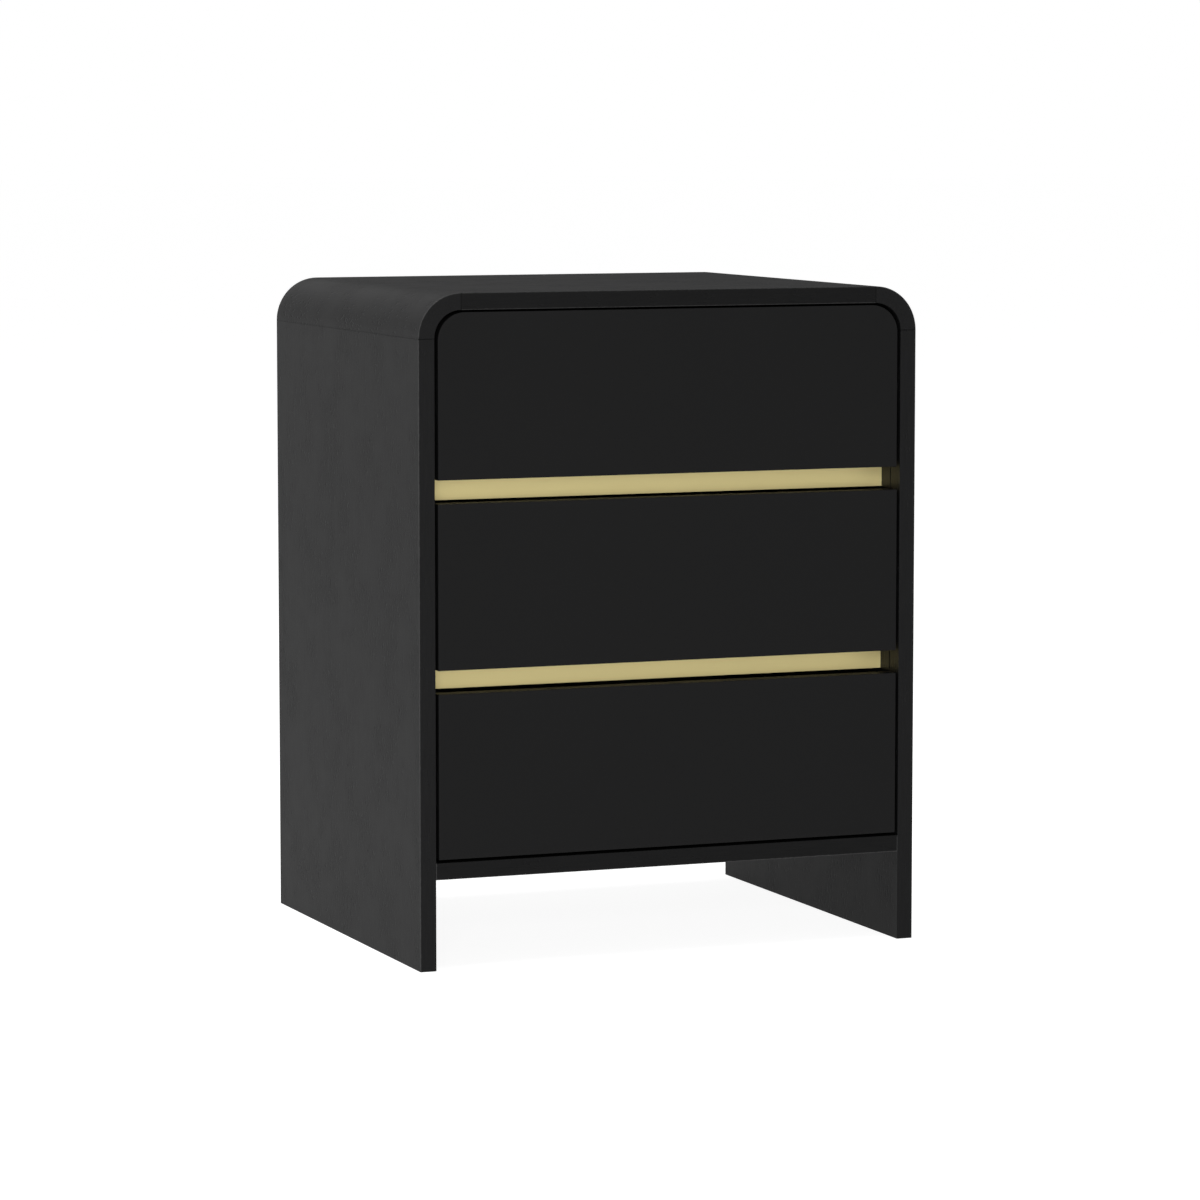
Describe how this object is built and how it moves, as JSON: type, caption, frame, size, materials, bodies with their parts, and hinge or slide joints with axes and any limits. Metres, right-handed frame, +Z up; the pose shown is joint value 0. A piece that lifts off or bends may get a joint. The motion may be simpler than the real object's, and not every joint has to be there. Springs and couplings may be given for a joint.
{
  "type": "nightstand",
  "caption": "Bedside drawer unit with a board case that stands on its side panels, rounded upper corners and handle-less drawers on slides, gripped at gaps backed by gold strips.",
  "frame": {"origin": "on the floor at the centre of the case's footprint", "axes": "+Z up, drawers open towards -Y, +X to the right of someone facing the drawer fronts"},
  "size_m": [0.48, 0.4, 0.6],
  "materials": {
    "black_board": "matt black foil with a fine wood grain on fibreboard",
    "box_board": "dark grey melamine on particle board",
    "thin_board": "black-faced hardboard",
    "gold_strip": "satin gold-coloured metal strip",
    "slide_steel": "bright zinc-plated rolled steel",
    "fastener_steel": "zinc-plated steel",
    "cam_zinc": "die-cast zinc",
    "dowel_beech": "plain beech"
  },
  "bodies": {
    "case": {"left_side_panel": "black_board", "left_corner_bend": "black_board", "right_side_panel": "black_board", "right_corner_bend": "black_board", "top_panel": "black_board", "bottom_panel": "black_board", "back_panel": "thin_board", "lower_divider_rail": "black_board", "lower_gold_strip": "gold_strip", "upper_divider_rail": "black_board", "upper_gold_strip": "gold_strip", "corner_dowels": "dowel_beech", "bottom_panel_dowels": "dowel_beech", "rail_dowels": "dowel_beech", "bottom_panel_cams": "cam_zinc", "bottom_panel_cam_bolts": "fastener_steel", "case_slide_screws": "fastener_steel", "bottom_left_slide_outer": "slide_steel", "bottom_right_slide_outer": "slide_steel", "middle_left_slide_outer": "slide_steel", "middle_right_slide_outer": "slide_steel", "top_left_slide_outer": "slide_steel", "top_right_slide_outer": "slide_steel"},
    "bottom_slide_intermediates": {"bottom_left_slide_intermediate": "slide_steel", "bottom_right_slide_intermediate": "slide_steel"},
    "bottom_drawer": {"bottom_left_slide_inner": "slide_steel", "bottom_drawer_left_side": "box_board", "bottom_right_slide_inner": "slide_steel", "bottom_drawer_right_side": "box_board", "bottom_drawer_front": "black_board", "bottom_drawer_back": "box_board", "bottom_drawer_bottom": "thin_board", "bottom_drawer_cams": "cam_zinc", "bottom_drawer_cam_bolts": "fastener_steel", "bottom_drawer_screws": "fastener_steel"},
    "middle_slide_intermediates": {"middle_left_slide_intermediate": "slide_steel", "middle_right_slide_intermediate": "slide_steel"},
    "middle_drawer": {"middle_left_slide_inner": "slide_steel", "middle_drawer_left_side": "box_board", "middle_right_slide_inner": "slide_steel", "middle_drawer_right_side": "box_board", "middle_drawer_front": "black_board", "middle_drawer_back": "box_board", "middle_drawer_bottom": "thin_board", "middle_drawer_cams": "cam_zinc", "middle_drawer_cam_bolts": "fastener_steel", "middle_drawer_screws": "fastener_steel"},
    "top_slide_intermediates": {"top_left_slide_intermediate": "slide_steel", "top_right_slide_intermediate": "slide_steel"},
    "top_drawer": {"top_left_slide_inner": "slide_steel", "top_drawer_left_side": "box_board", "top_right_slide_inner": "slide_steel", "top_drawer_right_side": "box_board", "top_drawer_front": "black_board", "top_drawer_back": "box_board", "top_drawer_bottom": "thin_board", "top_drawer_cams": "cam_zinc", "top_drawer_cam_bolts": "fastener_steel", "top_drawer_screws": "fastener_steel"}
  },
  "joints": [
    {"name": "bottom_drawer_slide", "type": "slide", "parent": "case", "child": "bottom_drawer", "axis": [0, -1, 0], "range_m": [0, 0.35]},
    {"name": "bottom_intermediate_slide", "type": "slide", "parent": "case", "child": "bottom_slide_intermediates", "axis": [0, -1, 0], "range_m": [0, 0.175]},
    {"name": "middle_drawer_slide", "type": "slide", "parent": "case", "child": "middle_drawer", "axis": [0, -1, 0], "range_m": [0, 0.35]},
    {"name": "middle_intermediate_slide", "type": "slide", "parent": "case", "child": "middle_slide_intermediates", "axis": [0, -1, 0], "range_m": [0, 0.175]},
    {"name": "top_drawer_slide", "type": "slide", "parent": "case", "child": "top_drawer", "axis": [0, -1, 0], "range_m": [0, 0.35]},
    {"name": "top_intermediate_slide", "type": "slide", "parent": "case", "child": "top_slide_intermediates", "axis": [0, -1, 0], "range_m": [0, 0.175]}
  ],
  "couplings": [
    {"joint": "bottom_intermediate_slide", "follows": "bottom_drawer_slide", "ratio": 0.5},
    {"joint": "middle_intermediate_slide", "follows": "middle_drawer_slide", "ratio": 0.5},
    {"joint": "top_intermediate_slide", "follows": "top_drawer_slide", "ratio": 0.5}
  ]
}
